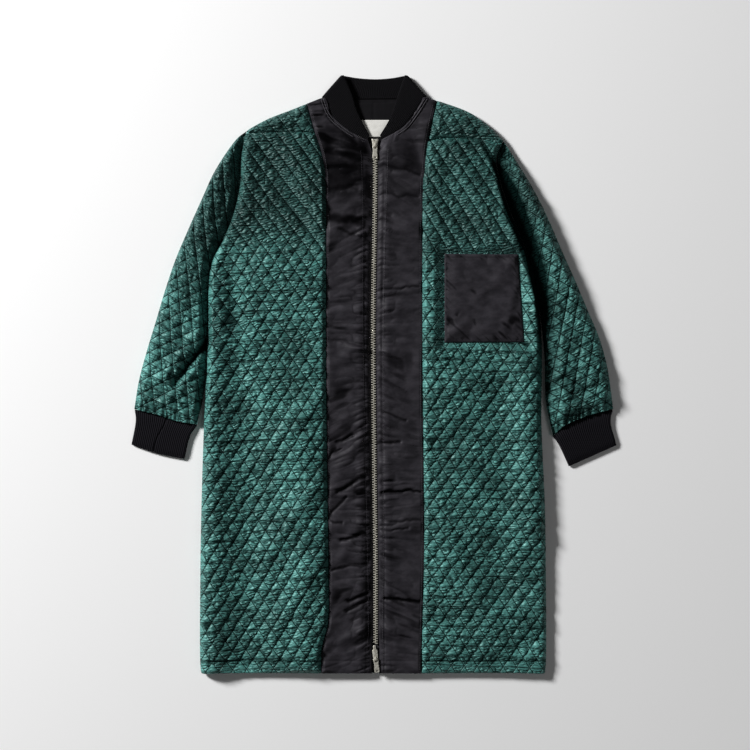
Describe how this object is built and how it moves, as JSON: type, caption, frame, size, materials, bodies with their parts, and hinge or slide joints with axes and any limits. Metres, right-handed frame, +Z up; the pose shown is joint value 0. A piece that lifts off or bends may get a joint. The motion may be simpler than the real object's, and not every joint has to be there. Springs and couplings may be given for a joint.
{
  "type": "bomber coat",
  "caption": "Long zip-up bomber coat in quilted satin with plain front bands, patch pocket, rib-knit collar and cuffs, laid flat; its zip pull tabs turn.",
  "frame": {"origin": "middle of the coat's box on the plan, on the surface that the coat lies on", "axes": "+Y from hem to collar, +X to the right seen from above (the wearer's left), +Z up out of the front"},
  "size_m": [0.914, 1.1256, 0.0184],
  "materials": {
    "quilted_satin": "green satin, triangle quilted over thin wadding",
    "black_satin": "plain black satin, puckered beside the zip",
    "rib_knit": "matt black rib knit",
    "label_cloth": "plain white woven label",
    "zip_tape": "black woven tape with metal teeth",
    "zip_metal": "antique nickel"
  },
  "bodies": {
    "coat": {"back": "quilted_satin", "shoulder_left": "quilted_satin", "shoulder_right": "quilted_satin", "front_left": "quilted_satin", "front_right": "quilted_satin", "sleeve_left": "quilted_satin", "sleeve_right": "quilted_satin", "band_left": "black_satin", "band_right": "black_satin", "pocket": "black_satin", "neck_facing": "black_satin", "neck_label": "label_cloth", "cuff_left": "rib_knit", "cuff_right": "rib_knit", "collar": "rib_knit", "zip_left": "zip_tape", "zip_right": "zip_tape", "slider_top": "zip_metal", "slider_bottom": "zip_metal"},
    "top_pull": {"pull_top": "zip_metal"},
    "bottom_pull": {"pull_bottom": "zip_metal"}
  },
  "joints": [
    {"name": "top_pull_flip", "type": "hinge", "parent": "coat", "child": "top_pull", "pos_m": [0.002, 0.429, 0.01295], "axis": [-1, 0, 0], "range_deg": [0, 135]},
    {"name": "bottom_pull_flip", "type": "hinge", "parent": "coat", "child": "bottom_pull", "pos_m": [0.0034, -0.5365, 0.01295], "axis": [-0.9945, -0.1045, 0], "range_deg": [0, 135]}
  ]
}
